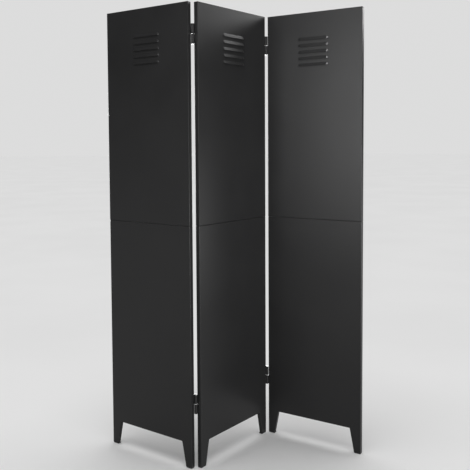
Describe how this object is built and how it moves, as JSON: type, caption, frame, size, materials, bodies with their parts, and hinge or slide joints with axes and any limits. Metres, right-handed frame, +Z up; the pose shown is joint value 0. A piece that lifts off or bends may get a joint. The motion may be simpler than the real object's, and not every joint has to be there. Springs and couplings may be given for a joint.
{
  "type": "folding room divider screen",
  "caption": "Free-standing folding screen of hinged sheet-steel panels with pressed louvres and tapered legs, for dividing a room.",
  "frame": {"origin": "on the floor, under the middle of the bounding box, with the screen standing in its zig-zag rest pose", "axes": "+Z up, -Y towards the viewer who faces the louvred fronts, +X to that viewer's right"},
  "size_m": [0.9774, 0.3312, 1.7],
  "materials": {
    "powder_coat": "black powder coat, satin with a fine texture",
    "zinc": "bright zinc plating",
    "black_zinc": "black zinc plating",
    "polished_steel": "polished steel",
    "black_plastic": "matt moulded polyethylene"
  },
  "bodies": {
    "center_panel": {"center_glide_left": "black_plastic", "center_glide_right": "black_plastic", "center_lower_sheet": "powder_coat", "center_seam_bolt_1": "zinc", "center_seam_bolt_2": "zinc", "center_seam_nut_1": "zinc", "center_seam_nut_2": "zinc", "center_upper_sheet": "powder_coat", "left_hinge_bottom_lower_knuckle": "powder_coat", "left_hinge_bottom_lower_screw_1": "black_zinc", "left_hinge_bottom_lower_screw_2": "black_zinc", "left_hinge_bottom_pin": "polished_steel", "left_hinge_bottom_washer": "polished_steel", "left_hinge_top_lower_knuckle": "powder_coat", "left_hinge_top_lower_screw_1": "black_zinc", "left_hinge_top_lower_screw_2": "black_zinc", "left_hinge_top_pin": "polished_steel", "left_hinge_top_washer": "polished_steel", "right_hinge_bottom_upper_knuckle": "powder_coat", "right_hinge_bottom_upper_screw_1": "black_zinc", "right_hinge_bottom_upper_screw_2": "black_zinc", "right_hinge_top_upper_knuckle": "powder_coat", "right_hinge_top_upper_screw_1": "black_zinc", "right_hinge_top_upper_screw_2": "black_zinc"},
    "left_panel": {"left_glide_left": "black_plastic", "left_glide_right": "black_plastic", "left_hinge_bottom_upper_knuckle": "powder_coat", "left_hinge_bottom_upper_screw_1": "black_zinc", "left_hinge_bottom_upper_screw_2": "black_zinc", "left_hinge_top_upper_knuckle": "powder_coat", "left_hinge_top_upper_screw_1": "black_zinc", "left_hinge_top_upper_screw_2": "black_zinc", "left_lower_sheet": "powder_coat", "left_seam_bolt_1": "zinc", "left_seam_bolt_2": "zinc", "left_seam_nut_1": "zinc", "left_seam_nut_2": "zinc", "left_upper_sheet": "powder_coat"},
    "right_panel": {"right_glide_left": "black_plastic", "right_glide_right": "black_plastic", "right_hinge_bottom_lower_knuckle": "powder_coat", "right_hinge_bottom_lower_screw_1": "black_zinc", "right_hinge_bottom_lower_screw_2": "black_zinc", "right_hinge_bottom_pin": "polished_steel", "right_hinge_bottom_washer": "polished_steel", "right_hinge_top_lower_knuckle": "powder_coat", "right_hinge_top_lower_screw_1": "black_zinc", "right_hinge_top_lower_screw_2": "black_zinc", "right_hinge_top_pin": "polished_steel", "right_hinge_top_washer": "polished_steel", "right_lower_sheet": "powder_coat", "right_seam_bolt_1": "zinc", "right_seam_bolt_2": "zinc", "right_seam_nut_1": "zinc", "right_seam_nut_2": "zinc", "right_upper_sheet": "powder_coat"}
  },
  "joints": [
    {"name": "left_fold", "type": "hinge", "parent": "center_panel", "child": "left_panel", "pos_m": [-0.14419, -0.15416, 0.85], "axis": [0, 0, 1], "range_deg": [-94, 105]},
    {"name": "right_fold", "type": "hinge", "parent": "center_panel", "child": "right_panel", "pos_m": [0.13234, 0.15325, 0.85], "axis": [0, 0, 1], "range_deg": [-93.5, 102]}
  ]
}
